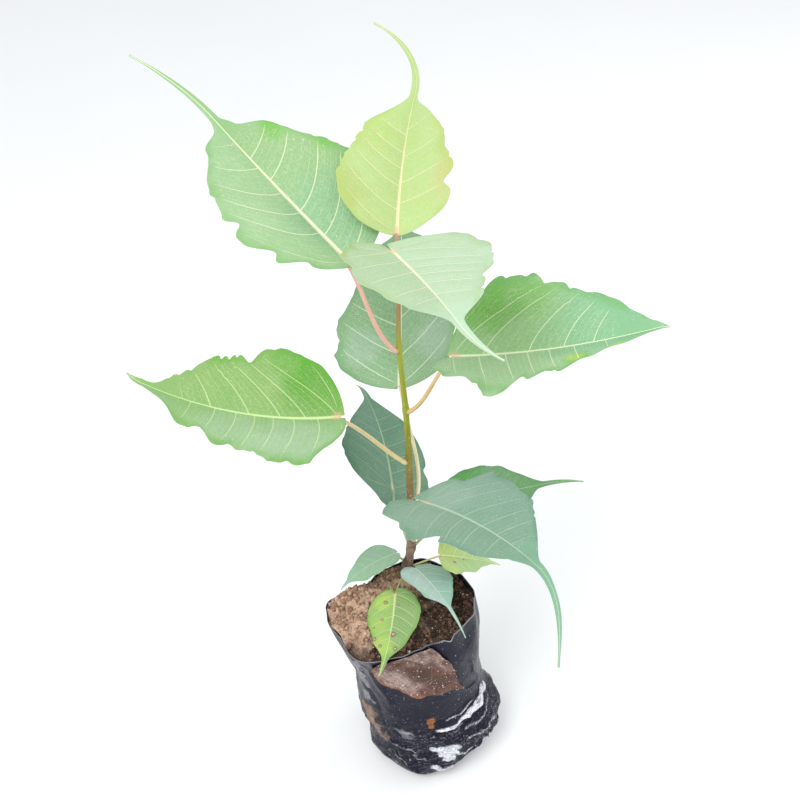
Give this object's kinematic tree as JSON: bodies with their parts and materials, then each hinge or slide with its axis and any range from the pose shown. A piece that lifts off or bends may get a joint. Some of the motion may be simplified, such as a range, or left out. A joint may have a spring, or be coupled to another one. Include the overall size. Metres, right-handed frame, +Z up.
{
  "type": "potted bodhi tree sapling",
  "caption": "Young bodhi tree with a slender stem and heart-shaped, long-tipped leaves on thin stalks, standing in a soil-filled black polythene nursery bag.",
  "frame": {"origin": "centre of the bag's flat underside", "axes": "+Z straight up; the stem stands towards +Y, at the back of the bag's mouth, and the bag leans towards -X"},
  "size_m": [0.3021, 0.3443, 0.4923],
  "materials": {
    "bag_film": "gloss",
    "soil": "matte",
    "bark": "satin",
    "young_leaf": "satin",
    "leaf": "satin",
    "shaded_leaf": "satin",
    "dry_leaf": "matte"
  },
  "bodies": {
    "root": {"bag": "bag_film", "soil": "soil", "trunk": "bark", "leaf_top": "young_leaf", "leaf_upper_left": "leaf", "leaf_centre": "young_leaf", "leaf_right": "leaf", "leaf_back": "shaded_leaf", "leaf_left": "leaf", "leaf_lower_left": "shaded_leaf", "leaf_front": "shaded_leaf", "leaf_right_back": "leaf", "small_leaf_left": "shaded_leaf", "small_leaf_front": "shaded_leaf", "small_leaf_right": "young_leaf", "small_leaf_low": "young_leaf", "dead_leaf": "dry_leaf"}
  },
  "joints": []
}
